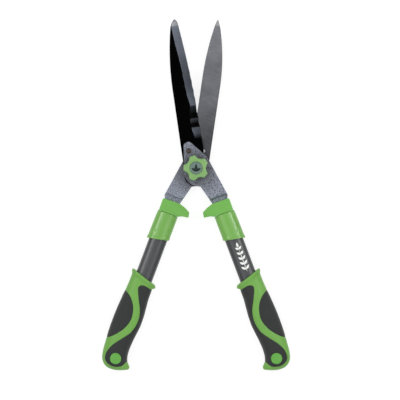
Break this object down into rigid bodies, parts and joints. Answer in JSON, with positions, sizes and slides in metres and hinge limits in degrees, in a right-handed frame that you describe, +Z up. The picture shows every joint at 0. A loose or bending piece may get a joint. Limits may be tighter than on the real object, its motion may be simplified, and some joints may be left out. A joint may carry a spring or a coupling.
{
  "type": "hedge shears",
  "caption": "Two-handed hedge shears with a wave-ground blade, a star-shaped tension knob, oval tube handles and soft-padded grips, lying open.",
  "frame": {"origin": "on the pivot's axis, at the centre of the flat end of the pivot bolt's hex head, which is level with the surface the shears lie on", "axes": "+Z up along the pivot's axis, +Y midway between the blades towards their tips, +X to the right seen from above"},
  "size_m": [0.2894, 0.54, 0.0382],
  "materials": {
    "blade_coating": "satin",
    "blade_steel": "ground",
    "arm_paint": "hammered",
    "rivet_steel": "satin",
    "zinc_steel": "zinc plated",
    "spring_steel": "satin",
    "bush_bronze": "turned",
    "knob_green": "satin",
    "cap_grey": "satin",
    "buffer_green": "matt",
    "sleeve_green": "gloss",
    "tube_paint": "satin",
    "grip_green": "satin",
    "pad_charcoal": "matt",
    "plug_green": "satin"
  },
  "bodies": {
    "lower_half": {"lower_blade": "blade_steel", "lower_arm": "arm_paint", "lower_blade_rivet": "rivet_steel", "pivot_bolt": "zinc_steel", "bolt_washer": "zinc_steel", "left_tube": "tube_paint", "left_tang_rivet": "rivet_steel", "left_buffer": "buffer_green", "left_sleeve": "sleeve_green", "left_grip_core": "grip_green", "left_grip_inner_pad": "pad_charcoal", "left_grip_outer_pad": "pad_charcoal", "left_end_plug": "plug_green"},
    "upper_half": {"upper_blade": "blade_coating", "upper_arm": "arm_paint", "upper_blade_rivet": "rivet_steel", "pivot_bush": "bush_bronze", "thrust_washer": "zinc_steel", "right_tube": "tube_paint", "right_tang_rivet": "rivet_steel", "right_buffer": "buffer_green", "right_sleeve": "sleeve_green", "right_grip_core": "grip_green", "right_grip_inner_pad": "pad_charcoal", "right_grip_outer_pad": "pad_charcoal", "right_end_plug": "plug_green"},
    "spring_washer": {"spring_washer": "spring_steel"},
    "knob": {"tension_knob": "knob_green", "knob_nut": "zinc_steel", "knob_cap": "cap_grey"}
  },
  "joints": [
    {"name": "blade_pivot", "type": "hinge", "parent": "lower_half", "child": "upper_half", "pos_m": [0, 0, 0.016], "axis": [0, 0, 1], "range_deg": [-16.6, 75]},
    {"name": "knob_lift", "type": "slide", "parent": "lower_half", "child": "spring_washer", "axis": [0, 0, 1], "range_m": [0, 0.00301]},
    {"name": "knob_turn", "type": "hinge", "parent": "spring_washer", "child": "knob", "pos_m": [0, 0, 0.03], "axis": [0, 0, 1], "range_deg": [0, 720]}
  ],
  "couplings": [
    {"joint": "knob_lift", "follows": "knob_turn", "m_per_rad": 0.00023873}
  ]
}
